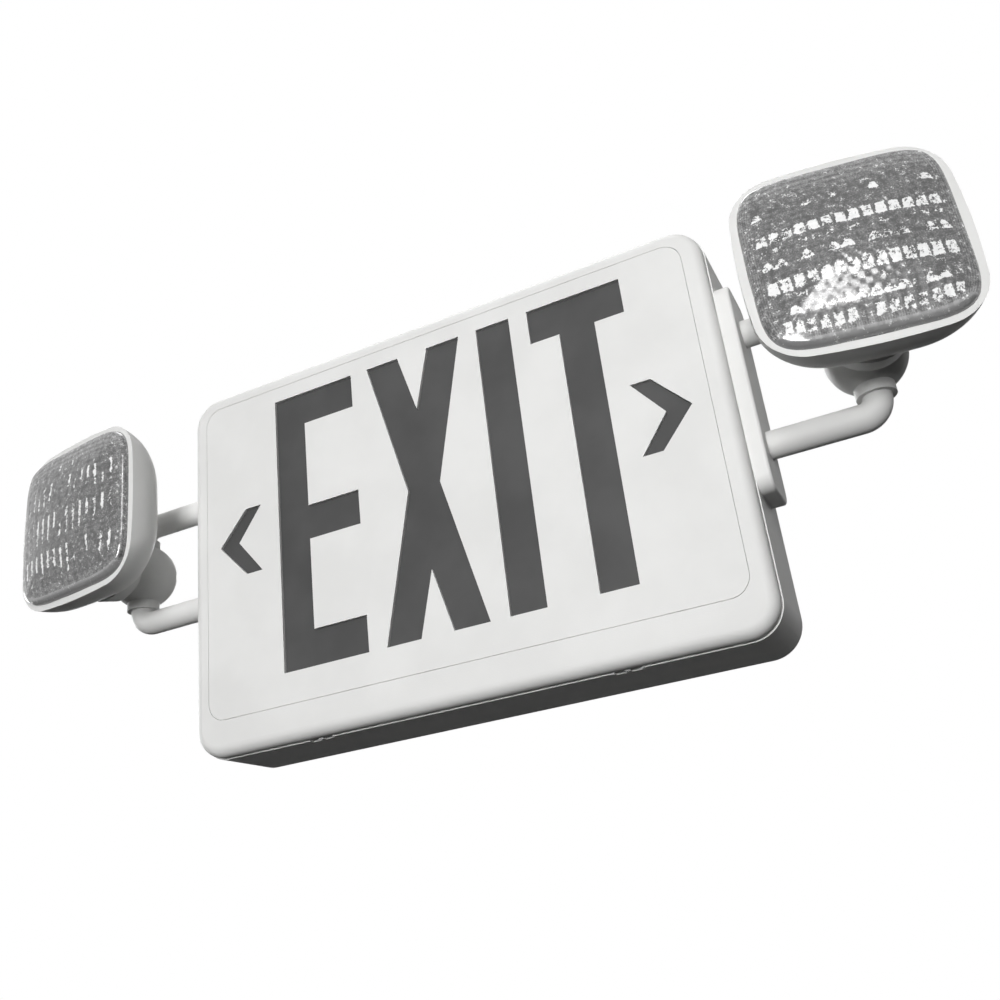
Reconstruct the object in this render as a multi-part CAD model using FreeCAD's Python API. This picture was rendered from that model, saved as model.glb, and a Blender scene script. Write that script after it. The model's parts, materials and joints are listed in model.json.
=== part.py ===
import FreeCAD, Part
import math
import os

# Wall-mounted exit sign with two swivelling emergency lamp heads.
# Millimetres. X runs to the viewer's right, -Y out of the wall, +Z up.
# The origin is on the wall, behind the centre of the sign box.

# Sign box
box_width = 304.0
box_height = 206.0
box_depth = 50.0
box_corner = 16.0
wall = 2.5
back_thickness = 1.6
cover_depth = 8.0
cover_round = 5.5
cover_inset = 0.5
fit_gap = 0.2

# Sign face: the stencil sits flush in a stepped window of the cover
panel_width = 284.0
panel_height = 179.4
panel_corner = 10.0
panel_rise = 5.0
stencil_thickness = 1.5
legend_thickness = 1.5
ledge_thickness = 1.5
ledge_width = 4.0

# Letters and chevrons
letter_height = 154.4
stroke = 19.0
letter_rise = 8.7
legend_start = -94.5
letter_gap = 10.1
letter_e_width = 49.8
letter_x_width = 55.8
letter_i_width = 18.7
letter_t_width = 49.8
x_notch_depth = 33.0
x_waist = 18.3
chevron_reach = 133.0
chevron_stroke = 12.4
chevron_end = 10.0
chevron_sweep = 17.0
chevron_half_height = 18.7

# Latches in the bottom seam
latch_spread = 80.0
latch_pitch = 7.5
latch_width = 5.0
latch_height = 3.0

# Side plates and the bent tubes that carry the lamp heads
plate_height = 107.0
plate_width = 34.0
plate_proud = 7.0
plate_proud_left = 3.5
plate_corner = 8.0
plate_edge = 1.5
plate_rise = 16.0
arm_from_wall = 25.5
arm_rise = 18.25
arm_pitch = 59.5
arm_reach = 209.0
tube_radius = 6.7
tube_wall = 1.5
bend_radius = 8.3
tube_tail = 8.0
nut_radius = 10.0
nut_length = 5.0
running_gap = 0.05

# Ball knuckles clamped round the upright of each tube
ball_radius = 18.6
ball_wall = 3.0
collar_radius = 9.0
collar_gap = 0.25
knuckle_screw_x = 12.0
screw_radius = 1.5
screw_head_radius = 2.8
screw_head_height = 1.8
boss_radius = 3.2
seat_set = 5.8
screw_bite = 8.0
clamp_slot_width = 7.0
clamp_slot_low = 36.0

# Lamp heads, drawn round the ball's centre and then panned and tilted
pan_right = 10.0
pan_left = -8.5
tilt_right = -3.5
tilt_left = 0.5
tilt_up = 8.0
tilt_down = 12.0
head_half = 48.4
head_depth = 33.0
head_front = 47.0
head_rise = 25.0
head_corner = 22.0
head_bow = 300.0
dome_power = 2.7
head_wall = 2.4
rim_width = 3.8
lens_seat = 5.0
seat_width = 2.2
socket_gap = 0.3
socket_wall = 2.5
neck_start = 26.0
neck_radius = 19.5
neck_end_radius = 17.5
ring_radius = 14.8
ring_front = 16.0
ring_back = 13.0
clamp_screw_radius = 2.0
clamp_head_radius = 4.0
clamp_head_height = 2.6
clamp_nut_half_angle = 18.0
clamp_nut_thickness = 3.0

# Lens and light source of a lamp head
lens_skirt = 3.0
lens_dome = 5.5
lens_wall = 2.0
lens_crown = 1.0
prism_margin = 2.0
lens_columns = 16
lens_rows = 14
prism_depth = 0.9
reflector_sheet = 0.8
reflector_depth = 11.0
reflector_floor = 0.62
led_columns = 3
led_rows = 2
led_pitch = 15.0
led_size = 3.6
led_height = 1.2
board_thickness = 1.6
head_board_margin = 6.0

# Inside the sign box
standoff = 6.4
standoff_radius = 3.0
circuit_width = 140.0
circuit_height = 58.0
circuit_side_gap = 3.5
circuit_base_gap = 13.0
sign_board_side_gap = 24.5
sign_led_margin = 15.0
sign_board_height = 12.0
sign_board_rise = -5.0
sign_led_count = 12
battery_radius = 11.0
battery_length = 43.0
battery_pitch = 21.5
battery_side_gap = 71.5
battery_base_gap = 37.0
strap_width = 16.0
strap_thickness = 1.2
strap_foot = 9.0
transformer_size = (28.0, 18.0, 24.0)
winding_size = (17.4, 15.0, 34.0)
transformer_along = 62.0
relay_size = (20.0, 14.0, 12.0)
relay_along = 106.0
capacitor_radius = 5.0
capacitor_length = 16.0
capacitor_along = 36.0
capacitor_gap = 2.0
terminal_size = (26.0, 11.0, 12.0)
terminal_x = 34.0
terminal_top_gap = 51.0
terminal_hole_radius = 2.2
terminal_hole_depth = 3.0

# Test button and charge lamp on the left side wall
button_radius = 4.0
button_travel = 2.5
button_flange = 1.5
button_flange_height = 1.2
stem_radius = 2.0
button_from_wall = 18.0
button_clearance = 0.5
button_base_gap = 29.0
stem_bite = 3.0
switch_size = 12.0
lamp_radius = 2.5
lamp_base_gap = 47.0
lamp_proud = 0.8

# Fixings to the wall or an outlet box
cable_hole_radius = 11.1
cable_top_gap = 53.0
box_screw_radius = 2.3
box_screw_pitch = 83.3
keyhole_spread = 220.0
keyhole_top_gap = 43.0
keyhole_slot_radius = 2.3
keyhole_head_radius = 4.6
keyhole_length = 9.0
post_radius = 5.0
post_screw_length = 12.0
flat_screw_set = 0.1

V = FreeCAD.Vector
X = V(1, 0, 0)
Y = V(0, 1, 0)
Z = V(0, 0, 1)

front = -box_depth
seam = front + cover_depth
side_face = box_width / 2
inner_side = side_face - wall
letter_base = letter_rise - letter_height / 2
letter_top = letter_base + letter_height
circuit_left = circuit_side_gap - inner_side
circuit_bottom = circuit_base_gap - box_height / 2
sign_board_width = 2 * (inner_side - sign_board_side_gap)
battery_x = inner_side - battery_side_gap
battery_z = battery_base_gap - box_height / 2
terminal_z = box_height / 2 - terminal_top_gap
button_z = button_base_gap - box_height / 2
lamp_z = lamp_base_gap - box_height / 2
cable_rise = box_height / 2 - cable_top_gap
keyhole_rise = box_height / 2 - keyhole_top_gap


def export(name, shape):
    shape.exportStep("parts/" + name + ".step")


def block(x0, x1, y0, y1, z0, z1):
    return Part.makeBox(x1 - x0, y1 - y0, z1 - z0, V(x0, y0, z0))


def rod(radius, start, direction, length):
    return Part.makeCylinder(radius, length, start, direction)


def fuse(shapes):
    result = shapes[0]
    for shape in shapes[1:]:
        result = result.fuse(shape)
    return result.removeSplitter()


def group(shapes):
    return Part.makeCompound(shapes)


def slab(width, height, corner, y_front, y_back, centre_z=0.0):
    """Upright plate with rounded corners, between two depths."""
    body = block(-width / 2, width / 2, y_front, y_back, centre_z - height / 2, centre_z + height / 2)
    corners = [e for e in body.Edges if abs(e.tangentAt(e.FirstParameter).y) > 0.9]
    return body.makeFillet(corner, corners)


def outline_prism(points, y_front, y_back):
    """Prism along Y over a closed outline given as x, z pairs."""
    corners = [V(x, y_front, z) for x, z in points]
    face = Part.Face(Part.makePolygon(corners + corners[:1]))
    return face.extrude(V(0, y_back - y_front, 0))


def screw(start, direction, length):
    """Pan-head screw whose head sits on the surface at start."""
    inward = V(direction).multiply(-screw_head_height)
    head = rod(screw_head_radius, start + inward, direction, screw_head_height)
    return fuse([head, rod(screw_radius, start, direction, length)])


def flat_screw(x, z):
    """Countersunk screw driven into the housing from the wall side."""
    sink = screw_head_radius - screw_radius
    start = V(x, -flat_screw_set, z)
    head = Part.makeCone(screw_head_radius, screw_radius, sink, start, -Y)
    return fuse([head, rod(screw_radius, start, -Y, post_screw_length)])


# ---------------------------------------------------------------- sign letters

def letter_e(left):
    right = left + letter_e_width
    middle = letter_rise
    half = stroke / 2
    return [(left, letter_base), (right, letter_base), (right, letter_base + stroke),
            (left + stroke, letter_base + stroke), (left + stroke, middle - half),
            (right, middle - half), (right, middle + half), (left + stroke, middle + half),
            (left + stroke, letter_top - stroke), (right, letter_top - stroke),
            (right, letter_top), (left, letter_top)]


def letter_x(left):
    right = left + letter_x_width
    centre = (left + right) / 2
    waist = x_waist / 2
    return [(left, letter_base), (left + stroke, letter_base), (centre, letter_base + x_notch_depth),
            (right - stroke, letter_base), (right, letter_base), (centre + waist, letter_rise),
            (right, letter_top), (right - stroke, letter_top), (centre, letter_top - x_notch_depth),
            (left + stroke, letter_top), (left, letter_top), (centre - waist, letter_rise)]


def letter_i(left):
    right = left + letter_i_width
    return [(left, letter_base), (right, letter_base), (right, letter_top), (left, letter_top)]


def letter_t(left):
    right = left + letter_t_width
    centre = (left + right) / 2
    half = letter_i_width / 2
    return [(centre - half, letter_base), (centre + half, letter_base),
            (centre + half, letter_top - stroke), (right, letter_top - stroke),
            (right, letter_top), (left, letter_top), (left, letter_top - stroke),
            (centre - half, letter_top - stroke)]


def chevron(side):
    inner = chevron_reach - chevron_stroke
    tail = chevron_reach - chevron_sweep
    root = tail - chevron_end
    points = [(chevron_reach, 0.0), (tail, chevron_half_height), (root, chevron_half_height),
              (inner, 0.0), (root, -chevron_half_height), (tail, -chevron_half_height)]
    return [(side * x, letter_rise + z) for x, z in points]


def sign_openings():
    x_left = legend_start + letter_e_width + letter_gap
    i_left = x_left + letter_x_width + letter_gap
    t_left = i_left + letter_i_width + letter_gap
    return [letter_e(legend_start), letter_x(x_left), letter_i(i_left), letter_t(t_left),
            chevron(-1), chevron(1)]


# ---------------------------------------------------------------- sign box

def post_centres():
    dx = inner_side - post_radius
    dz = box_height / 2 - wall - post_radius
    return [(sx * dx, sz * dz) for sx in (-1, 1) for sz in (-1, 1)]


def latch_centres():
    step = latch_pitch / 2
    return [side * latch_spread + shift for side in (-1, 1) for shift in (-step, step)]


def circuit_holes():
    margin = 2 * standoff_radius
    xs = (circuit_left + margin, circuit_left + circuit_width - margin)
    zs = (circuit_bottom + margin, circuit_bottom + circuit_height - margin)
    return [(x, z) for x in xs for z in zs]


def sign_board_holes():
    reach = sign_board_width / 2 - 2 * standoff_radius
    return [(-reach, sign_board_rise), (reach, sign_board_rise)]


def strap_holes():
    reach = battery_pitch + battery_radius + strap_foot / 2 + strap_thickness
    return [(battery_x - reach, battery_z), (battery_x + reach, battery_z)]


def make_back_plate():
    plate = slab(box_width - 2 * cover_inset, box_height - 2 * cover_inset, box_corner,
                 -back_thickness, 0.0)
    posts = [rod(standoff_radius, V(x, -back_thickness, z), -Y, standoff)
             for x, z in circuit_holes() + sign_board_holes()]
    feet = [rod(standoff_radius, V(x, -back_thickness, z), -Y, standoff / 2) for x, z in strap_holes()]
    plate = fuse([plate] + posts + feet)
    deep = back_thickness + standoff + 1.0
    for x, z in circuit_holes() + sign_board_holes() + strap_holes():
        plate = plate.cut(rod(screw_radius, V(x, 0.5, z), -Y, deep))
    plate = plate.cut(rod(cable_hole_radius, V(0, 1, cable_rise), -Y, back_thickness + 2))
    for side in (-1, 1):
        z = cable_rise + side * box_screw_pitch / 2
        plate = plate.cut(rod(box_screw_radius, V(0, 1, z), -Y, back_thickness + 2))
        plate = plate.cut(keyhole(side * keyhole_spread / 2))
    for x, z in post_centres():
        plate = plate.cut(flat_screw(x, z))
    return plate


def keyhole(x):
    """Screw-head hole with a slot above it that the box drops on to."""
    z = keyhole_rise
    through = back_thickness + 2
    hole = rod(keyhole_head_radius, V(x, 1, z - keyhole_length), -Y, through)
    top = rod(keyhole_slot_radius, V(x, 1, z), -Y, through)
    slot = block(x - keyhole_slot_radius, x + keyhole_slot_radius, 1 - through, 1,
                 z - keyhole_length, z)
    return fuse([hole, top, slot])


def make_housing():
    outer = slab(box_width, box_height, box_corner, seam, -back_thickness)
    inner = slab(box_width - 2 * wall, box_height - 2 * wall, box_corner - wall,
                 seam - 1, -back_thickness + 1)
    frame = outer.cut(inner)
    posts = [rod(post_radius, V(x, -back_thickness, z), -Y, box_depth - cover_depth - 10.0)
             for x, z in post_centres()]
    frame = fuse([frame] + posts).common(outer)
    for x, z in post_centres():
        frame = frame.cut(rod(screw_radius, V(x, 1, z), -Y, post_screw_length + 2.0))
    for side in (-1, 1):
        for z in arm_heights():
            start = V(side * (inner_side - 1), -arm_from_wall, z)
            frame = frame.cut(rod(tube_radius + fit_gap, start, X * side, wall + 2))
    for x in latch_centres():
        half = latch_width / 2
        bottom = -box_height / 2
        frame = frame.cut(block(x - half, x + half, seam - 1, seam + latch_height,
                                bottom - 1, bottom + wall + 0.5))
    reach = V(-inner_side + 1, -button_from_wall, button_z)
    frame = frame.cut(rod(button_radius + running_gap, reach, -X, wall + 2))
    reach = V(-inner_side + 1, -button_from_wall, lamp_z)
    return frame.cut(rod(lamp_radius + running_gap, reach, -X, wall + 2))


def arm_heights():
    return (arm_rise - arm_pitch / 2, arm_rise + arm_pitch / 2)


def make_front_cover():
    width = box_width - 2 * cover_inset
    height = box_height - 2 * cover_inset
    face_thickness = stencil_thickness + ledge_thickness
    outer = slab(width, height, box_corner, front, seam)
    rim = [e for e in outer.Edges if abs(e.BoundBox.YMin - front) < 0.01 and e.BoundBox.YLength < 0.01]
    outer = outer.makeFillet(cover_round, rim)
    hollow = slab(width - 2 * wall, height - 2 * wall, box_corner - wall, front + face_thickness, seam + 1)
    window = slab(panel_width - 2 * ledge_width, panel_height - 2 * ledge_width,
                  panel_corner - ledge_width, front - 1, seam, panel_rise)
    recess = slab(panel_width, panel_height, panel_corner, front - 1, front + stencil_thickness, panel_rise)
    cover = outer.cut(hollow).cut(window).cut(recess)
    lip_width = box_width - 2 * wall - 2 * fit_gap
    lip_height = box_height - 2 * wall - 2 * fit_gap
    lip_corner = box_corner - wall - fit_gap
    lip = slab(lip_width, lip_height, lip_corner, front + face_thickness, seam + latch_height)
    lip = lip.cut(slab(lip_width - 3, lip_height - 3, lip_corner - 1.5, front, seam + 5))
    hooks = [block(x - latch_width / 2 + fit_gap, x + latch_width / 2 - fit_gap, seam + fit_gap,
                   seam + latch_height - fit_gap, -lip_height / 2 - 1.2, -lip_height / 2 + 0.5)
             for x in latch_centres()]
    return fuse([cover, lip] + hooks)


def make_stencil():
    stencil = slab(panel_width - 2 * fit_gap, panel_height - 2 * fit_gap, panel_corner - fit_gap,
                   front, front + stencil_thickness, panel_rise)
    for points in sign_openings():
        stencil = stencil.cut(outline_prism(points, front - 1, front + stencil_thickness + 1))
    return stencil


def make_legend_panel():
    back = front + stencil_thickness
    margin = ledge_width + fit_gap
    return slab(panel_width - 2 * margin, panel_height - 2 * margin, panel_corner - margin,
                back, back + legend_thickness, panel_rise)


# ---------------------------------------------------------------- inside the box

def board_front():
    return -back_thickness - standoff - board_thickness


def make_circuit_board():
    board = block(circuit_left, circuit_left + circuit_width, board_front(),
                  board_front() + board_thickness, circuit_bottom, circuit_bottom + circuit_height)
    for x, z in circuit_holes():
        board = board.cut(rod(screw_radius + fit_gap, V(x, 0, z), -Y, box_depth / 2))
    return board


def on_board(x, z, size):
    """Box-shaped component of width, height off the board, and length along Z."""
    width, tall, length = size
    return block(x - width / 2, x + width / 2, board_front() - tall, board_front(),
                 z - length / 2, z + length / 2)


def make_transformer():
    centre = circuit_bottom + circuit_height / 2
    x = circuit_left + transformer_along
    return fuse([on_board(x, centre, transformer_size), on_board(x, centre, winding_size)])


def make_capacitors():
    middle = circuit_bottom + circuit_height / 2
    x = circuit_left + capacitor_along
    step = capacitor_radius + capacitor_gap / 2
    return group([rod(capacitor_radius, V(x, board_front(), middle + shift), -Y, capacitor_length)
                  for shift in (-step, step)])


def make_sign_board():
    board = block(-sign_board_width / 2, sign_board_width / 2, board_front(),
                  board_front() + board_thickness, sign_board_rise - sign_board_height / 2,
                  sign_board_rise + sign_board_height / 2)
    for x, z in sign_board_holes():
        board = board.cut(rod(screw_radius + fit_gap, V(x, 0, z), -Y, box_depth / 2))
    return board


def make_sign_leds():
    step = (sign_board_width - 2 * sign_led_margin) / (sign_led_count - 1)
    first = -step * (sign_led_count - 1) / 2
    half = led_size / 2
    return group([block(first + n * step - half, first + n * step + half, board_front() - led_height,
                        board_front(), sign_board_rise - half, sign_board_rise + half)
                  for n in range(sign_led_count)])


def make_battery():
    bottom = battery_z - battery_length / 2
    centre_y = -back_thickness - fit_gap - battery_radius
    cells = [rod(battery_radius, V(battery_x + n * battery_pitch, centre_y, bottom), Z, battery_length)
             for n in (-1, 0, 1)]
    return fuse(cells)


def make_strap():
    """Band over the three cells with a screwed foot at each end."""
    reach = battery_pitch + battery_radius + 2 * fit_gap
    foot_back = -back_thickness - standoff / 2
    top = -back_thickness - 2 * battery_radius - 3 * fit_gap
    low = battery_z - strap_width / 2
    high = battery_z + strap_width / 2
    band = block(battery_x - reach - strap_thickness, battery_x + reach + strap_thickness,
                 top - strap_thickness, foot_back, low, high)
    band = band.cut(block(battery_x - reach, battery_x + reach, top, foot_back + 1, low - 1, high + 1))
    feet = []
    for side in (-1, 1):
        edge = battery_x + side * reach
        tip = edge + side * (strap_thickness + strap_foot)
        feet.append(block(min(edge, tip), max(edge, tip), foot_back - strap_thickness, foot_back, low, high))
    strap = fuse([band] + feet)
    for x, z in strap_holes():
        strap = strap.cut(rod(screw_radius + fit_gap, V(x, 0, z), -Y, 12.0))
    return strap


def make_terminal_block():
    width, tall, length = terminal_size
    body = block(terminal_x - width / 2, terminal_x + width / 2, -back_thickness - tall,
                 -back_thickness, terminal_z - length / 2, terminal_z + length / 2)
    for n in (-1, 0, 1):
        hole = V(terminal_x + n * width / 3, -back_thickness - tall - 1, terminal_z)
        body = body.cut(rod(terminal_hole_radius, hole, Y, terminal_hole_depth + 1))
    return body


def make_test_button():
    tip = -side_face - button_travel - button_clearance
    flange_x = -inner_side + fit_gap
    start = V(tip, -button_from_wall, button_z)
    cap = rod(button_radius, start, X, flange_x - tip)
    flange = rod(button_radius + button_flange, V(flange_x, -button_from_wall, button_z), X,
                 button_flange_height)
    stem = rod(stem_radius, start, X, switch_left() + stem_bite - tip)
    return fuse([cap, flange, stem])


def switch_left():
    return -inner_side + fit_gap + button_flange_height + button_travel + button_clearance


def make_test_switch():
    left = switch_left()
    half = switch_size / 2
    tall = button_from_wall + half + board_front()
    body = block(left, left + switch_size, board_front() - tall, board_front(),
                 button_z - half, button_z + half)
    bore = rod(stem_radius + running_gap, V(left - 1, -button_from_wall, button_z), X,
               1 + stem_bite + button_travel + button_clearance)
    return body.cut(bore)


def make_charge_lamp():
    tip = -side_face - lamp_proud
    inside = -inner_side + fit_gap
    centre = V(tip, -button_from_wall, lamp_z)
    lens = rod(lamp_radius, centre, X, inside + 4.0 - tip)
    flange = rod(lamp_radius + 1.0, V(inside, -button_from_wall, lamp_z), X, 1.0)
    foot = block(inside + 1.0, inside + 6.0, -button_from_wall, board_front(),
                 lamp_z - 1.5, lamp_z + 1.5)
    return fuse([lens, flange, foot])


# ---------------------------------------------------------------- arms

def make_side_plate(proud):
    """Raised pad on the right side wall, with the two tube holes."""
    low = plate_rise - plate_height / 2
    plate_face = side_face + proud
    pad = block(side_face, plate_face, -arm_from_wall - plate_width / 2,
                -arm_from_wall + plate_width / 2, low, low + plate_height)
    corners = [e for e in pad.Edges if abs(e.tangentAt(e.FirstParameter).x) > 0.9]
    pad = pad.makeFillet(plate_corner, corners)
    rim = [e for e in pad.Edges if e.BoundBox.XMin > plate_face - 0.01]
    pad = pad.makeFillet(plate_edge, rim)
    for z in arm_heights():
        pad = pad.cut(rod(tube_radius + fit_gap, V(side_face - 1, -arm_from_wall, z), X, proud + 2))
    return pad


def tube_path():
    low, high = arm_heights()
    start = inner_side - tube_tail
    bend = arm_reach - bend_radius
    turn = bend_radius * (1 - math.sqrt(0.5))
    y = -arm_from_wall

    def point(x, z):
        return V(x, y, z)

    lower = Part.LineSegment(point(start, low), point(bend, low))
    lower_bend = Part.Arc(point(bend, low), point(arm_reach - turn, low + turn),
                          point(arm_reach, low + bend_radius))
    upright = Part.LineSegment(point(arm_reach, low + bend_radius), point(arm_reach, high - bend_radius))
    upper_bend = Part.Arc(point(arm_reach, high - bend_radius), point(arm_reach - turn, high - turn),
                          point(bend, high))
    upper = Part.LineSegment(point(bend, high), point(start, high))
    return Part.Wire([c.toShape() for c in (lower, lower_bend, upright, upper_bend, upper)])


def make_tube():
    path = tube_path()
    start = V(inner_side - tube_tail, -arm_from_wall, arm_heights()[0])
    solids = []
    for radius in (tube_radius, tube_radius - tube_wall):
        ring = Part.Wire([Part.makeCircle(radius, start, X)])
        solids.append(path.makePipeShell([ring], True, False))
    return solids[0].cut(solids[1])


def make_tube_nuts():
    nuts = []
    for z in arm_heights():
        points = [V(inner_side, -arm_from_wall + nut_radius * math.cos(math.radians(60 * n)),
                    z + nut_radius * math.sin(math.radians(60 * n))) for n in range(6)]
        hexagon = Part.Face(Part.makePolygon(points + points[:1])).extrude(V(-nut_length, 0, 0))
        hole = rod(tube_radius + running_gap, V(inner_side + 1, -arm_from_wall, z), -X, nut_length + 2)
        nuts.append(hexagon.cut(hole))
    return group(nuts)


# ---------------------------------------------------------------- knuckle, round the ball's centre

def collar_half():
    return arm_pitch / 2 - bend_radius - collar_gap


def make_knuckle():
    """Hollow ball with a collar above and below, bored for the tube."""
    ball = Part.makeSphere(ball_radius)
    hollow = Part.makeSphere(ball_radius - ball_wall)
    collar = rod(collar_radius, V(0, 0, -collar_half()), Z, 2 * collar_half())
    bosses = [rod(boss_radius, V(side * knuckle_screw_x, -ball_radius, 0), Y, 2 * ball_radius)
              for side in (-1, 1)]
    core = ball.cut(hollow)
    bosses = [boss.common(ball) for boss in bosses]
    collar = collar.cut(hollow)
    knuckle = fuse([core, collar] + bosses)
    knuckle = knuckle.cut(rod(tube_radius + running_gap, V(0, 0, -ball_radius * 2), Z, ball_radius * 4))
    spread = clamp_spread()
    slot = Part.makeCylinder(ball_radius + 5, clamp_slot_width, V(-clamp_slot_width / 2, 0, 0), X,
                             tilt_up + spread + clamp_slot_low)
    slot.rotate(V(0, 0, 0), X, 90 - tilt_up - spread)
    return knuckle, slot


def clamp_spread():
    return math.degrees(clamp_screw_radius / (ball_radius - ball_wall)) + 2.0


def split_knuckle():
    knuckle, slot = make_knuckle()
    size = 3 * ball_radius
    front_half = knuckle.common(block(-size, size, -size, 0, -size, size)).cut(slot)
    back_half = knuckle.common(block(-size, size, 0, size, -size, size))
    for side in (-1, 1):
        x = side * knuckle_screw_x
        seat = knuckle_screw_seat()
        back_half = back_half.cut(rod(screw_head_radius + fit_gap, V(x, seat, 0), Y, ball_radius))
        back_half = back_half.cut(rod(screw_radius + fit_gap, V(x, -1, 0), Y, ball_radius))
        front_half = front_half.cut(rod(screw_radius, V(x, 1, 0), -Y, screw_bite + 1))
    return front_half, back_half


def knuckle_screw_seat():
    return math.sqrt(ball_radius ** 2 - knuckle_screw_x ** 2) - seat_set


def make_knuckle_screws():
    return group([screw(V(side * knuckle_screw_x, knuckle_screw_seat(), 0), -Y,
                        knuckle_screw_seat() + screw_bite) for side in (-1, 1)])


# ---------------------------------------------------------------- lamp head, round the ball's centre

def bowed_square(half, corner, y):
    """Square outline with bowed sides and tangent corner arcs, centred on the lamp."""
    bow = head_bow * half / head_half
    offset = bow - half
    gap = bow - corner
    middle = (-offset + math.sqrt(2 * gap * gap - offset * offset)) / 2
    angle = math.atan2(middle, middle + offset)
    touch = (bow * math.cos(angle) - offset, bow * math.sin(angle))
    diagonal = middle + corner * math.sqrt(0.5)
    edges = []
    for quarter in range(4):
        turn = math.radians(90 * quarter)

        def spot(a, b):
            return V(a * math.cos(turn) - b * math.sin(turn), y,
                     a * math.sin(turn) + b * math.cos(turn) + head_rise)

        edges.append(Part.Arc(spot(touch[0], -touch[1]), spot(half, 0), spot(*touch)).toShape())
        edges.append(Part.Arc(spot(*touch), spot(diagonal, diagonal), spot(touch[1], touch[0])).toShape())
    return Part.Wire(edges)


def lamp_prism(half, corner, y_front, y_back):
    return Part.Face(bowed_square(half, corner, y_front)).extrude(V(0, y_back - y_front, 0))


def lamp_dome(half, corner, y_start, depth):
    """Closed dome whose sections shrink towards its far end."""
    sections = []
    for t in (0.0, 0.3, 0.55, 0.75, 0.9, 0.98):
        scale = (1 - t ** dome_power) ** (1 / dome_power)
        round_part = corner / half + (0.8 - corner / half) * t
        sections.append(bowed_square(half * scale, half * scale * round_part, y_start + depth * t))
    return Part.makeLoft(sections, True)


def make_head_shell():
    face = -head_front
    outer = lamp_dome(head_half, head_corner, face, head_depth)
    neck = Part.makeCone(neck_radius, neck_end_radius, neck_start - ring_front, V(0, -neck_start, 0), Y)
    seat = face + lens_seat
    inner_half = head_half - rim_width - seat_width
    inner = lamp_dome(inner_half, head_corner - rim_width - seat_width, seat - 0.01,
                      head_depth - lens_seat - head_wall)
    recess = lamp_prism(head_half - rim_width, head_corner - rim_width, face - 1, seat)
    shell = outer.fuse(neck).cut(inner).cut(recess)
    floor = -ring_front - socket_wall
    liner = rod(ring_radius + socket_wall, V(0, floor, 0), Y, head_front).common(outer)
    cup = Part.makeSphere(ball_radius + socket_gap + socket_wall)
    size = 3 * ball_radius
    cup = cup.common(block(-size, size, -size, -ring_front, -size, size))
    shell = shell.fuse(liner).fuse(cup)
    shell = shell.cut(Part.makeSphere(ball_radius + socket_gap))
    shell = shell.cut(rod(ring_radius + fit_gap, V(0, -ring_front, 0), Y, head_front))
    return shell.cut(rod(clamp_screw_radius + fit_gap, V(0, -head_front, 0), Y, head_front))


def make_socket_ring():
    ring = rod(ring_radius, V(0, -ring_front, 0), Y, ring_front - ring_back)
    return ring.cut(Part.makeSphere(ball_radius + socket_gap))


def make_clamp_screw():
    start = -ball_radius - socket_gap - socket_wall
    back = -(ball_radius - ball_wall - socket_gap - clamp_nut_thickness)
    shank = rod(clamp_screw_radius, V(0, start - clamp_head_height, 0), Y,
                back - start + clamp_head_height)
    head = rod(clamp_head_radius, V(0, start - clamp_head_height, 0), Y, clamp_head_height)
    slot = block(-0.5, 0.5, start - clamp_head_height - 1, start - clamp_head_height + 1,
                 -clamp_head_radius, clamp_head_radius)
    return fuse([shank, head]).cut(slot)


def make_clamp_nut():
    """Domed nut that rides inside the ball."""
    outer = ball_radius - ball_wall - socket_gap
    shell = Part.makeSphere(outer).cut(Part.makeSphere(outer - clamp_nut_thickness))
    reach = outer * math.sin(math.radians(clamp_nut_half_angle))
    nut = shell.common(rod(reach, V(0, -outer - 1, 0), Y, outer))
    return nut.cut(rod(clamp_screw_radius, V(0, -outer - 1, 0), Y, outer))


def lens_base():
    return -head_front + lens_seat - reflector_sheet


def make_lens():
    """Domed cover with a grid of small prisms across its flat inner face."""
    half = head_half - rim_width - fit_gap
    corner = head_corner - rim_width - fit_gap
    skirt = -head_front - lens_skirt
    body = lamp_prism(half, corner, skirt, lens_base())
    sections = []
    for scale in (1.0, 0.96, 0.86, 0.7, 0.5, 0.28, 0.1):
        rise = lens_dome * math.sqrt(1 - scale * scale)
        sections.append(bowed_square(half * scale, corner * scale, skirt - rise))
    body = body.fuse(Part.makeLoft(sections, True))
    inner_face = skirt + lens_crown
    cavity = lamp_prism(half - lens_wall, corner - lens_wall, inner_face, lens_base() + 1)
    body = body.cut(cavity)
    span = 2 * (half - lens_wall - prism_margin)
    low = head_rise - span / 2
    cutters = []
    for n in range(lens_columns):
        pitch = span / lens_columns
        left = -span / 2 + n * pitch
        profile = [V(left, inner_face + 0.01, low), V(left + pitch, inner_face + 0.01, low),
                   V(left + pitch / 2, inner_face - prism_depth, low)]
        cutters.append(Part.Face(Part.makePolygon(profile + profile[:1])).extrude(V(0, 0, span)))
    for cutter in cutters:
        body = body.cut(cutter)
    cutters = []
    for n in range(lens_rows):
        pitch = span / lens_rows
        z = low + n * pitch
        profile = [V(-span / 2, inner_face + 0.01, z), V(-span / 2, inner_face + 0.01, z + pitch),
                   V(-span / 2, inner_face - prism_depth, z)]
        cutters.append(Part.Face(Part.makePolygon(profile + profile[:1])).extrude(V(span, 0, 0)))
    for cutter in cutters:
        body = body.cut(cutter)
    return body


def led_spots():
    spots = []
    for row in range(led_rows):
        for column in range(led_columns):
            x = (column - (led_columns - 1) / 2) * led_pitch
            z = head_rise + (row - (led_rows - 1) / 2) * led_pitch
            spots.append((x, z))
    return spots


def reflector_back():
    return -head_front + lens_seat - reflector_sheet + reflector_depth


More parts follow.
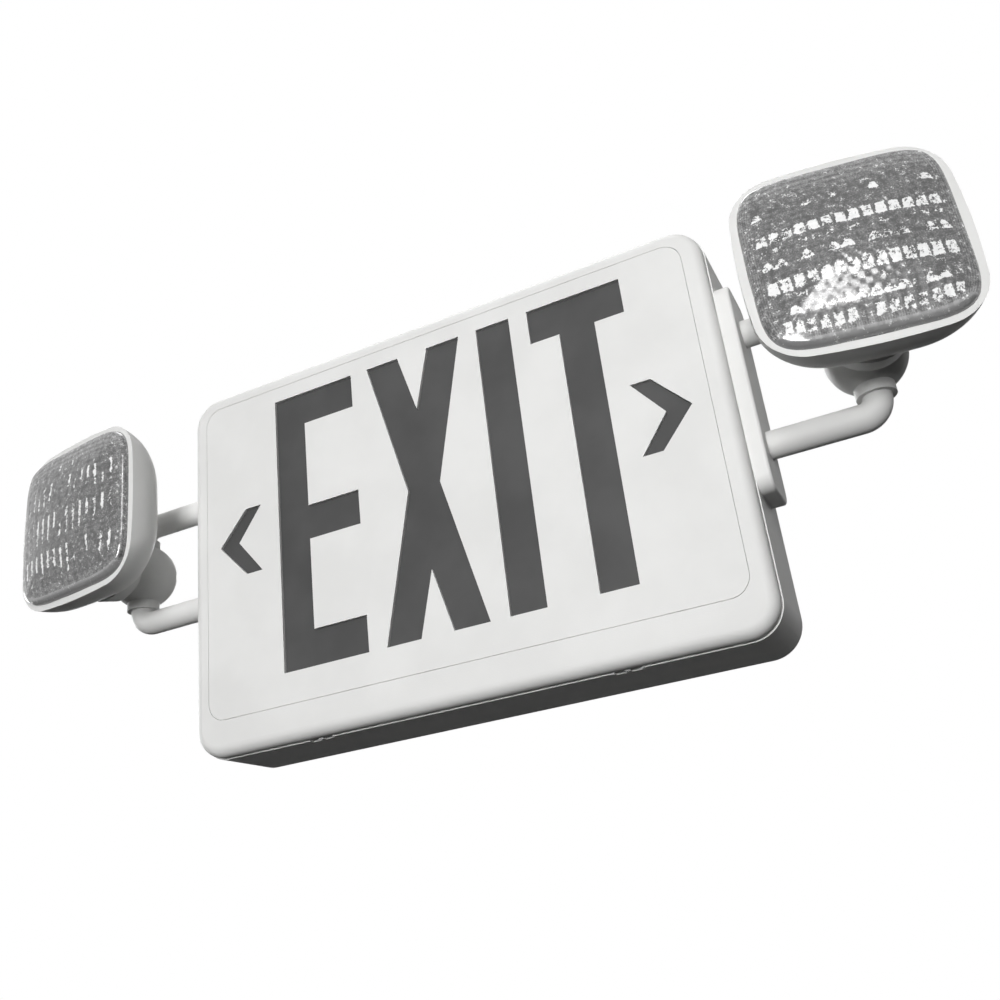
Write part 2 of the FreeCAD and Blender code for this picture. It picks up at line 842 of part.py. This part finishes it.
def make_reflector():
    half = head_half - rim_width - fit_gap
    corner = head_corner - rim_width - fit_gap
    top = lens_base()
    flange = lamp_prism(half, corner, top, top + reflector_sheet)
    mouth = half - rim_width - seat_width
    sheet = reflector_sheet
    outer = Part.makeLoft([bowed_square(mouth, corner, top),
                           bowed_square(mouth * reflector_floor, corner * reflector_floor,
                                        reflector_back())], True, True)
    inner = Part.makeLoft([bowed_square(mouth - sheet, corner - sheet, top - 0.01),
                           bowed_square(mouth * reflector_floor - sheet,
                                        corner * reflector_floor - sheet,
                                        reflector_back() - sheet)], True, True)
    tray = flange.fuse(outer).cut(inner)
    for x, z in led_spots():
        tray = tray.cut(rod(led_size, V(x, reflector_back() - 5, z), Y, 10.0))
    return tray


def make_head_board():
    half_x = (led_columns - 1) / 2 * led_pitch + head_board_margin
    half_z = (led_rows - 1) / 2 * led_pitch + head_board_margin
    return block(-half_x, half_x, reflector_back(), reflector_back() + board_thickness,
                 head_rise - half_z, head_rise + half_z)


def make_head_leds():
    half = led_size / 2
    return group([block(x - half, x + half, reflector_back() - led_height, reflector_back(),
                        z - half, z + half) for x, z in led_spots()])


# ---------------------------------------------------------------- write the sub-parts

os.makedirs("parts", exist_ok=True)

export("back_plate", make_back_plate())
export("housing", make_housing())
export("front_cover", make_front_cover())
export("stencil_panel", make_stencil())
export("legend_panel", make_legend_panel())
export("circuit_board", make_circuit_board())
export("transformer", make_transformer())
export("relay", on_board(circuit_left + relay_along, circuit_bottom + circuit_height / 2, relay_size))
export("capacitors", make_capacitors())
export("sign_led_board", make_sign_board())
export("sign_leds", make_sign_leds())
export("battery_pack", make_battery())
export("battery_strap", make_strap())
export("terminal_block", make_terminal_block())
export("test_button", make_test_button())
export("test_switch", make_test_switch())
export("charge_lamp", make_charge_lamp())

board_seat = [V(x, board_front(), z) for x, z in circuit_holes() + sign_board_holes()]
export("board_screws", group([screw(spot, Y, board_thickness + standoff - 1.0) for spot in board_seat]))
strap_seat = -back_thickness - standoff / 2 - strap_thickness
export("strap_screws", group([screw(V(x, strap_seat, z), Y, strap_thickness + standoff / 2)
                              for x, z in strap_holes()]))
export("back_screws", group([flat_screw(x, z) for x, z in post_centres()]))

knuckle_front, knuckle_back = split_knuckle()
head_parts = [("head_shell", make_head_shell()), ("socket_ring", make_socket_ring()),
              ("clamp_screw", make_clamp_screw()), ("clamp_nut", make_clamp_nut()),
              ("lens", make_lens()), ("reflector", make_reflector()),
              ("head_board", make_head_board()), ("head_leds", make_head_leds())]
knuckle_parts = [("knuckle_front", knuckle_front), ("knuckle_back", knuckle_back),
                 ("knuckle_screws", make_knuckle_screws())]
sides = ((1, "right", pan_right, tilt_right, plate_proud),
         (-1, "left", pan_left, tilt_left, plate_proud_left))

for side, label, pan, tilt, proud in sides:
    fixed_parts = [("side_plate", make_side_plate(proud)), ("arm_tube", make_tube()),
                   ("tube_nuts", make_tube_nuts())]
    centre = V(side * arm_reach, -arm_from_wall, arm_rise)
    panned = FreeCAD.Placement(centre, FreeCAD.Rotation(Z, pan))
    tilted = panned.multiply(FreeCAD.Placement(V(0, 0, 0), FreeCAD.Rotation(X, tilt)))
    for name, shape in fixed_parts:
        placed = shape if side > 0 else shape.mirror(V(0, 0, 0), X)
        export(name + "_" + label, placed)
    for parts, placement in ((knuckle_parts, panned), (head_parts, tilted)):
        for name, shape in parts:
            placed = shape.copy()
            placed.Placement = placement
            export(name + "_" + label, placed)
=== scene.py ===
import bpy
import bmesh
import json
import math
from mathutils import Matrix, Vector


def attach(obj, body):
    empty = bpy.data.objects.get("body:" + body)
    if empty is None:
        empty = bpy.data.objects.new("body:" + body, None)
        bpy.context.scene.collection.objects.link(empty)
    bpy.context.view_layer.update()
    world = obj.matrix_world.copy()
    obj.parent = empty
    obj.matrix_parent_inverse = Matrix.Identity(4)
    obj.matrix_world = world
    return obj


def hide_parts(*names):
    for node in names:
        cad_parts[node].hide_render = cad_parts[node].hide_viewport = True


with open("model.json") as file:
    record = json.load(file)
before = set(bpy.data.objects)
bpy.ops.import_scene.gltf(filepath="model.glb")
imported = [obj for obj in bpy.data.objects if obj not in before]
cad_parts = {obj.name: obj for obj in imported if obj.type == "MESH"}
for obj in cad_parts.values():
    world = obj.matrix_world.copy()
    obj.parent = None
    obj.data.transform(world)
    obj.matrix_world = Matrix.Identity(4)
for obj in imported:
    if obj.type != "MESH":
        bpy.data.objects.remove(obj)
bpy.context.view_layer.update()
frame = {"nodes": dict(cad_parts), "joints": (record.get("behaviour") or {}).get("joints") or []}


# ---------------------------------------------------------------- white moulded shells
# The sign box, side plates, tubes, knuckles and lamp housings are injection
# moulded in one white thermoplastic with a fine satin grain. The box parts snap
# together, and the knuckles and lamp housings are screwed.

cloud_scale, cloud_detail = 26.0, 3.0
grain_scale, grain_detail = 1500.0, 2.0
tone_from, tone_to = 0.3, 0.7
cloud_roughness = 0.08
moulded_specular = 0.25
satin = 0.5
sides = ("right", "left")


class Shade:
    """A shader value that is written as arithmetic."""

    def __init__(self, tree, socket=None):
        self.tree = tree
        self.socket = socket

    def add(self, kind, settings=None, sockets=None, output=0):
        node = self.tree.nodes.new(kind)
        for name, value in (settings or {}).items():
            setattr(node, name, value)
        for key, value in (sockets or {}).items():
            if isinstance(value, Shade):
                self.tree.links.new(value.socket, node.inputs[key])
            else:
                node.inputs[key].default_value = value
        return Shade(self.tree, node.outputs[output] if node.outputs else None)

    def math(self, operation, first, second=0.0):
        return self.add("ShaderNodeMath", {"operation": operation}, {0: first, 1: second})

    def __add__(self, other):
        return self.math("ADD", self, other)

    def __radd__(self, other):
        return self.math("ADD", other, self)

    def __sub__(self, other):
        return self.math("SUBTRACT", self, other)

    def __rsub__(self, other):
        return self.math("SUBTRACT", other, self)

    def __mul__(self, other):
        return self.math("MULTIPLY", self, other)

    def __rmul__(self, other):
        return self.math("MULTIPLY", other, self)

    def __abs__(self):
        return self.math("ABSOLUTE", self)

    def ramp(self, low, high):
        settings = {"interpolation_type": "SMOOTHSTEP"}
        sockets = {"Value": self, "From Min": low, "From Max": high}
        return self.add("ShaderNodeMapRange", settings, sockets)

    def tint(self, dark, light):
        """A colour that goes from dark to light as the value goes from 0 to 1."""
        return self.add("ShaderNodeMix", {"data_type": "RGBA"}, {0: self, 6: dark, 7: light}, 2)

    def noise(self, scale, detail):
        sockets = {"Vector": self, "Scale": scale, "Detail": detail}
        return self.add("ShaderNodeTexNoise", None, sockets)


def colour(red, green, blue):
    return (red, green, blue, 1)


def grey(tone):
    return colour(tone, tone, tone)


def new_material(name):
    material = bpy.data.materials.new(name)
    material.use_nodes = True
    material.node_tree.nodes.clear()
    start = Shade(material.node_tree)
    return material, start, start.add("ShaderNodeTexCoord", None, None, "Object")


def finish_material(start, sockets):
    surface = start.add("ShaderNodeBsdfPrincipled", None, sockets)
    start.add("ShaderNodeOutputMaterial", None, {"Surface": surface})


def moulded(name, dark, light, roughness, grain_height):
    """Plastic with a fine moulded grain and a faint cloudy variation of tone."""
    material, start, place = new_material(name)
    cloud = place.noise(cloud_scale, cloud_detail)
    grain = place.noise(grain_scale, grain_detail)
    bump = {"Height": grain, "Strength": 1.0, "Distance": grain_height}
    finish_material(start, {
        "Base Color": cloud.ramp(tone_from, tone_to).tint(dark, light),
        "Roughness": cloud * cloud_roughness + roughness,
        "Specular IOR Level": moulded_specular,
        "Normal": start.add("ShaderNodeBump", None, bump)})
    return material


def dress(material, *names):
    for name in names:
        node = frame["nodes"][name]
        node.data.materials.clear()
        node.data.materials.append(material)


shell_white = moulded("shell_white", colour(0.70, 0.70, 0.69), colour(0.74, 0.74, 0.73), satin,
                      0.00004)
dress(shell_white, "back_plate", "housing", "front_cover", "stencil_panel")
for side in sides:
    for piece in ("side_plate_", "arm_tube_", "tube_nuts_", "knuckle_front_", "knuckle_back_",
                  "head_shell_", "socket_ring_"):
        dress(shell_white, piece + side)


# ---------------------------------------------------------------- legend panel
# A tinted translucent sheet lies behind the cut-out letters and chevrons and is
# lit from behind by the sign's LED strip. Unlit it is a dull dark grey.

legend_grey = moulded("legend_grey", grey(0.052), grey(0.070), satin, 0.00003)
dress(legend_grey, "legend_panel")


# ---------------------------------------------------------------- boards, battery and lamps
# The boards are solder-masked laminate, the bodies on them black moulded resin,
# and the battery cells are sleeved in shrink film. A red test button and a green
# charge lamp come through the left side of the box.

smooth_grain = 0.00001
board_green = moulded("board_green", colour(0.010, 0.050, 0.022), colour(0.016, 0.072, 0.034),
                      0.35, smooth_grain)
resin_black = moulded("resin_black", grey(0.012), grey(0.022), satin, 0.00002)
sleeve_blue = moulded("sleeve_blue", colour(0.012, 0.040, 0.120), colour(0.018, 0.055, 0.150),
                      0.3, smooth_grain)
phosphor = moulded("phosphor", colour(0.72, 0.66, 0.30), colour(0.80, 0.74, 0.36),
                   0.4, smooth_grain)
button_red = moulded("button_red", colour(0.28, 0.012, 0.010), colour(0.34, 0.018, 0.014),
                     0.35, smooth_grain)
lamp_green = moulded("lamp_green", colour(0.03, 0.26, 0.06), colour(0.04, 0.32, 0.08),
                     0.2, smooth_grain)
dress(board_green, "circuit_board", "sign_led_board", "head_board_right", "head_board_left")
dress(resin_black, "transformer", "relay", "capacitors", "terminal_block", "test_switch")
dress(sleeve_blue, "battery_pack")
dress(phosphor, "sign_leds", "head_leds_right", "head_leds_left")
dress(button_red, "test_button")
dress(lamp_green, "charge_lamp")


# ---------------------------------------------------------------- screws, strap and reflectors
# The screws, clamp nuts and battery strap are zinc-plated steel with fine drawn
# streaks. The reflectors behind the lenses are moulded plastic with a mirror
# coat of aluminium.

streak_scale, streak_detail = 900.0, 3.0
streak_tone = 0.1
streak_roughness = 0.15


def plated(name, tone, roughness):
    material, start, place = new_material(name)
    streaks = place.noise(streak_scale, streak_detail)
    finish_material(start, {
        "Base Color": streaks.ramp(tone_from, tone_to).tint(grey(tone), grey(tone + streak_tone)),
        "Metallic": 1.0,
        "Roughness": streaks * streak_roughness + roughness})
    return material


zinc = plated("zinc", 0.50, 0.28)
mirror_coat = plated("mirror_coat", 0.78, 0.06)
dress(zinc, "battery_strap", "board_screws", "strap_screws", "back_screws")
for side in sides:
    dress(zinc, "knuckle_screws_" + side, "clamp_screw_" + side, "clamp_nut_" + side)
    dress(mirror_coat, "reflector_" + side)


# ---------------------------------------------------------------- prismatic lenses
# Each lamp head is closed by a clear moulded lens, domed on the outside, with
# rows and columns of small prisms moulded inside. It drops into the housing's
# rim, and its skirt stands a few millimetres proud.

joints = {joint["name"]: joint for joint in frame["joints"]}
head_tilt = {"right": math.radians(-3.5), "left": math.radians(0.5)}
lens_half = 0.0444
lens_rise = 0.025
outline_power = 5.35
outline_blend = 3
rim_plane = -0.047
skirt_height = 0.003
skirt_depth = 0.004
dome_height = 0.0055
dome_power = 2.2
edge_round = 0.0026
columns = 16
prism_rows = 14
ripple_height = 0.00005
lens_segments = 160
centre_size = 1e-6


def head_place(side):
    """The lamp head's own frame: its origin is the middle of the swivel ball."""
    swivel = joints["head_tilt_" + side]
    across, along, _ = swivel["axis"]
    pan = Matrix.Rotation(math.atan2(along, across), 4, "Z")
    tilt = Matrix.Rotation(head_tilt[side], 4, "X")
    return Matrix.Translation(swivel["pos_m"]) @ pan @ tilt


def outline_reach(across, up):
    """Distance of the rounded outline from the centre, as a share of the square's."""
    level = (abs(across) ** outline_power + abs(up) ** outline_power) ** (1 / outline_power)
    return max(abs(across), abs(up)) / level


def lens_mesh(side):
    """A square grid drawn in to the rounded outline, domed, and closed by a straight skirt."""
    shape = bmesh.new()
    bmesh.ops.create_grid(shape, x_segments=lens_segments, y_segments=lens_segments, size=1.0)
    uv = shape.loops.layers.uv.new("prisms")
    for face in shape.faces:
        for corner in face.loops:
            corner[uv].uv = (corner.vert.co.x * 0.5 + 0.5, corner.vert.co.y * 0.5 + 0.5)
    front = rim_plane - skirt_height
    for vert in shape.verts:
        across, up = vert.co.x, vert.co.y
        ring = max(abs(across), abs(up))
        fit = 1.0
        if ring > centre_size:
            fit += (outline_reach(across, up) - 1) * ring ** outline_blend
        ripple = math.cos(math.pi * columns * across) * math.cos(math.pi * prism_rows * up)
        bulge = (1 - ring ** dome_power) * dome_height + ripple * ripple_height * (1 - ring)
        inset = max(0.0, ring - 1 + edge_round / lens_half) * lens_half
        fillet = edge_round - math.sqrt(max(0.0, edge_round ** 2 - inset ** 2))
        reach = fit * lens_half
        vert.co = (across * reach, front - bulge + fillet, up * reach + lens_rise)
    border = [edge for edge in shape.edges if edge.is_boundary]
    skirt = bmesh.ops.extrude_edge_only(shape, edges=border)["geom"]
    for item in skirt:
        if isinstance(item, bmesh.types.BMVert):
            item.co.y = rim_plane + skirt_depth
    bmesh.ops.contextual_create(shape, geom=[edge for edge in shape.edges if edge.is_boundary])
    bmesh.ops.recalc_face_normals(shape, faces=shape.faces)
    shape.transform(head_place(side))
    mesh = bpy.data.meshes.new("prismatic_lens_" + side)
    shape.to_mesh(mesh)
    shape.free()
    return mesh


# Each row of cells with painted glints, the light that the silvered prisms catch: its middle and
# half its height, as shares of the lens, the share of a cell that is lit, its narrowing towards
# the top, the share of the cells that are lit, and their strength.
right_rows = (
    (0.780, 0.022, 0.70, 0.3, 0.30, 1.0),
    (0.630, 0.032, 0.82, 0.1, 0.97, 1.2),
    (0.560, 0.013, 0.70, 0.0, 0.50, 0.5),
    (0.478, 0.026, 0.80, 0.6, 0.62, 0.95),
    (0.345, 0.040, 0.82, 0.1, 0.95, 1.2),
    (0.268, 0.020, 0.60, 0.0, 0.40, 0.5),
    (0.190, 0.026, 0.86, 0.6, 0.88, 1.0),
    (0.100, 0.034, 0.76, 0.1, 0.75, 1.0))
left_rows = (
    (0.865, 0.020, 0.26, 0.0, 0.35, 0.9),
    (0.735, 0.045, 0.36, 0.0, 0.70, 1.0),
    (0.660, 0.035, 0.30, 0.0, 0.60, 0.8),
    (0.500, 0.055, 0.38, 0.0, 0.80, 1.1),
    (0.415, 0.040, 0.30, 0.0, 0.60, 0.8),
    (0.250, 0.060, 0.36, 0.0, 0.85, 1.0),
    (0.165, 0.040, 0.30, 0.0, 0.60, 0.8))
lit_rows = {"right": right_rows, "left": left_rows}
blotch_share = {"right": 2.6, "left": 2.2}

row_key_step = 100
odds_spread = 0.15
cell_edge = (-0.05, 0.09)
row_edge = (0.75, 1.15)
row_bow = 0.012
cell_wander = 0.35
comb_lines = 90.0
hatch_lines = 28.0
speckle_scale, blotch_scale, fleck_detail = 1400.0, 420.0, 3.0
least_light, chance_light = 0.6, 0.5
lit_range, lit_share, lit_flecks = (0.36, 0.86), 0.85, 1.9
side_fade, side_comb, foot_comb, comb_share = (0.84, 0.93), (0.84, 0.92), (0.06, 0.10), 0.7
top_hatch, hatch_share, hatch_least = (0.80, 0.95), 0.9, 0.05
foot_line, line_share = (0.034, 0.044), 0.9
ground_flecks, ground_clouds, ground_tone = 1.7, 1.3, 0.24
# The last colour is the white of the painted glints.
ground_dark, ground_light, painted_glint_white = grey(0.065), grey(0.27), grey(0.86)
lens_roughness, fleck_roughness = 0.25, 0.3
coat_patches, coat_least = (0.38, 0.50), 0.5
hatch_height, prism_depth = 0.6, 0.0008


def sawtooth(start, value):
    """Falls from a half to nothing and rises again over each whole step of value."""
    return abs(start.math("FRACT", value) - 0.5)


def lit_row(start, cell, rise, row, seed):
    """The painted glints of one row of cells, stronger in some cells than in others."""
    middle, half, fill, taper, odds, strength = row
    key = {0: start.math("FLOOR", cell), 1: seed, 2: middle * row_key_step}
    index = start.add("ShaderNodeCombineXYZ", None, key)
    chance = start.add("ShaderNodeTexWhiteNoise", None, {"Vector": index}, "Value")
    off = sawtooth(start, cell)
    level = (rise - middle) * (1 / half)
    width = (1 - level * taper) * (fill / 2) - off
    inside = width.ramp(*cell_edge) * (1 - abs(level).ramp(*row_edge))
    lights_up = chance.ramp(1 - odds - odds_spread, 1 - odds + odds_spread)
    return inside * lights_up * (chance * chance_light + least_light) * strength


def lens_material(side, seed):
    """Clear plastic over silvered prisms: rows of cells with painted glints on speckled grey, a
    fine comb along the lower and side edges, and a fine hatch along the upper one."""
    material, start, place = new_material("lens_" + side)
    grid = start.add("ShaderNodeUVMap", {"uv_map": "prisms"})
    across = start.add("ShaderNodeSeparateXYZ", None, {"Vector": grid}, 0)
    up = start.add("ShaderNodeSeparateXYZ", None, {"Vector": grid}, 1)
    side_on = across * 2.0 - 1
    rise = up + side_on * side_on * row_bow
    speckle = place.noise(speckle_scale, fleck_detail)
    blotch = place.noise(blotch_scale, fleck_detail)
    flecks, clouds = speckle - 0.5, blotch - 0.5

    cell = across * float(columns) + clouds * cell_wander
    lit = 0.0
    for number, row in enumerate(lit_rows[side]):
        lit = lit_row(start, cell, rise, row, seed + number) + lit
    edge = abs(side_on)
    lit = lit * (1 - edge.ramp(*side_fade))
    # The glints that the silvered prisms catch are painted into the base colour here, mixed with
    # random flecks and clouds.
    glints_and_flecks = lit * lit_share + flecks * lit_flecks + clouds * blotch_share[side]

    comb = sawtooth(start, across * comb_lines)
    hatch = sawtooth(start, rise * hatch_lines)
    comb_part = (edge.ramp(*side_comb) + (1 - rise.ramp(*foot_comb))) * comb * comb_share
    hatch_part = rise.ramp(*top_hatch) * (hatch * hatch_share + hatch_least)
    line_part = (1 - up.ramp(*foot_line)) * line_share
    tone = flecks * ground_flecks + clouds * ground_clouds + comb_part + hatch_part + line_part
    ground = (tone + ground_tone).ramp(0.0, 1.0).tint(ground_dark, ground_light)

    rib = sawtooth(start, across * float(columns))
    height = rib + hatch * hatch_height + blotch
    prisms = {"Height": height, "Strength": 0.5, "Distance": prism_depth}
    finish_material(start, {
        "Base Color": glints_and_flecks.ramp(*lit_range).tint(ground, painted_glint_white),
        "Roughness": speckle * fleck_roughness + lens_roughness,
        "Specular IOR Level": 0.4,
        "Coat Weight": blotch.ramp(*coat_patches) * (1 - coat_least) + coat_least,
        "Coat Roughness": 0.07,
        "Coat IOR": 1.6,
        "Normal": start.add("ShaderNodeBump", None, prisms)})
    return material


seed_step = 20.0
for number, side in enumerate(sides):
    lens = bpy.data.objects.new("prismatic_lens_" + side, lens_mesh(side))
    bpy.context.collection.objects.link(lens)
    for face in lens.data.polygons:
        face.use_smooth = True
    lens.data.materials.append(lens_material(side, number * seed_step))
    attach(lens, "head_" + side)
    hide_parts("lens_" + side)


# ---------------------------------------------------------------- studio floor
# The unit hangs clear of a plain matt floor in pale grey. To the lamps the floor
# is dark, so that it throws little light up at the sign.

floor_drop = 1.3
floor_size = 8.0
floor_glow = 0.9
floor_bounce = grey(0.07)
shape = bmesh.new()
bmesh.ops.create_grid(shape, x_segments=1, y_segments=1, size=floor_size)
bmesh.ops.translate(shape, verts=shape.verts, vec=(0, 0, -floor_drop))
floor_mesh = bpy.data.meshes.new("studio_floor")
shape.to_mesh(floor_mesh)
shape.free()
floor = bpy.data.objects.new("studio_floor", floor_mesh)
bpy.context.collection.objects.link(floor)
floor_material, start, place = new_material("studio_floor")
pale = place.noise(3.0, 2.0).tint(grey(0.78), grey(0.82))
looked_at = start.add("ShaderNodeLightPath", None, None, "Is Camera Ray")
finish_material(start, {
    "Base Color": looked_at.tint(floor_bounce, pale),
    "Roughness": 0.9,
    "Emission Color": looked_at.tint(grey(0), pale),
    "Emission Strength": floor_glow})
floor.data.materials.append(floor_material)


# ---------------------------------------------------------------- surround and lamps
# The surround is plain white and fills the shadows a little. A large soft lamp
# stands in front of the sign, with weaker ones in front and above, overhead,
# behind and to the left.

fill_strength = 0.047
world = bpy.data.worlds.new("surround")
world.use_nodes = True
world.node_tree.nodes.clear()
start = Shade(world.node_tree)
seen = start.add("ShaderNodeLightPath", None, None, "Is Camera Ray")
for ray in ("Is Glossy Ray", "Is Transmission Ray"):
    seen = start.math("MAXIMUM", seen, start.add("ShaderNodeLightPath", None, None, ray))
strength = seen * (1 - fill_strength) + fill_strength
surround = start.add("ShaderNodeBackground", None, {"Color": grey(1), "Strength": strength})
start.add("ShaderNodeOutputWorld", None, {"Surface": surround})
bpy.context.scene.world = world

# Each lamp's name, place, width in metres, power in watts, and spread in degrees.
soft_lamps = (
    ("key", (0.2, -2.1, 0.0), 0.7, 4.3, 60),
    ("upper", (0.55, -1.9, 0.9), 0.6, 1.3, 60),
    ("overhead", (-0.3, 0.3, 1.8), 1.0, 2.4, 70),
    ("behind", (-1.4, 1.8, 0.8), 1.0, 3.4, 60),
    ("left", (-2.1, 0.6, 0.3), 0.5, 1.6, 60))
sign_centre = Vector((0, 0, 0))

for name, spot, width, power, spread in soft_lamps:
    light = bpy.data.lights.new(name, "AREA")
    light.size = width
    light.energy = power
    light.spread = math.radians(spread)
    lamp = bpy.data.objects.new(name, light)
    aim = (sign_centre - Vector(spot)).to_track_quat("-Z", "Y").to_matrix().to_4x4()
    lamp.matrix_world = Matrix.Translation(spot) @ aim
    bpy.context.collection.objects.link(lamp)


# ---------------------------------------------------------------- camera
# It hangs below the sign to the right of its middle and looks up at it, rolled
# to one side.

camera_spot = Vector((0.2173, -0.4875, -0.2131))
camera_right = Vector((0.89593, 0.42944, -0.11353))
camera_down = Vector((-0.26490, 0.31138, -0.91262))
camera_ahead = Vector((-0.35657, 0.84772, 0.39273))
camera_data = bpy.data.cameras.new("camera")
camera_data.sensor_width = 36.0
camera_data.lens = 38.75
camera = bpy.data.objects.new("camera", camera_data)
axes = Matrix((camera_right, -camera_down, -camera_ahead)).transposed().to_4x4()
camera.matrix_world = Matrix.Translation(camera_spot) @ axes
bpy.context.collection.objects.link(camera)
bpy.context.scene.camera = camera
bpy.context.scene.view_settings.view_transform = "Standard"
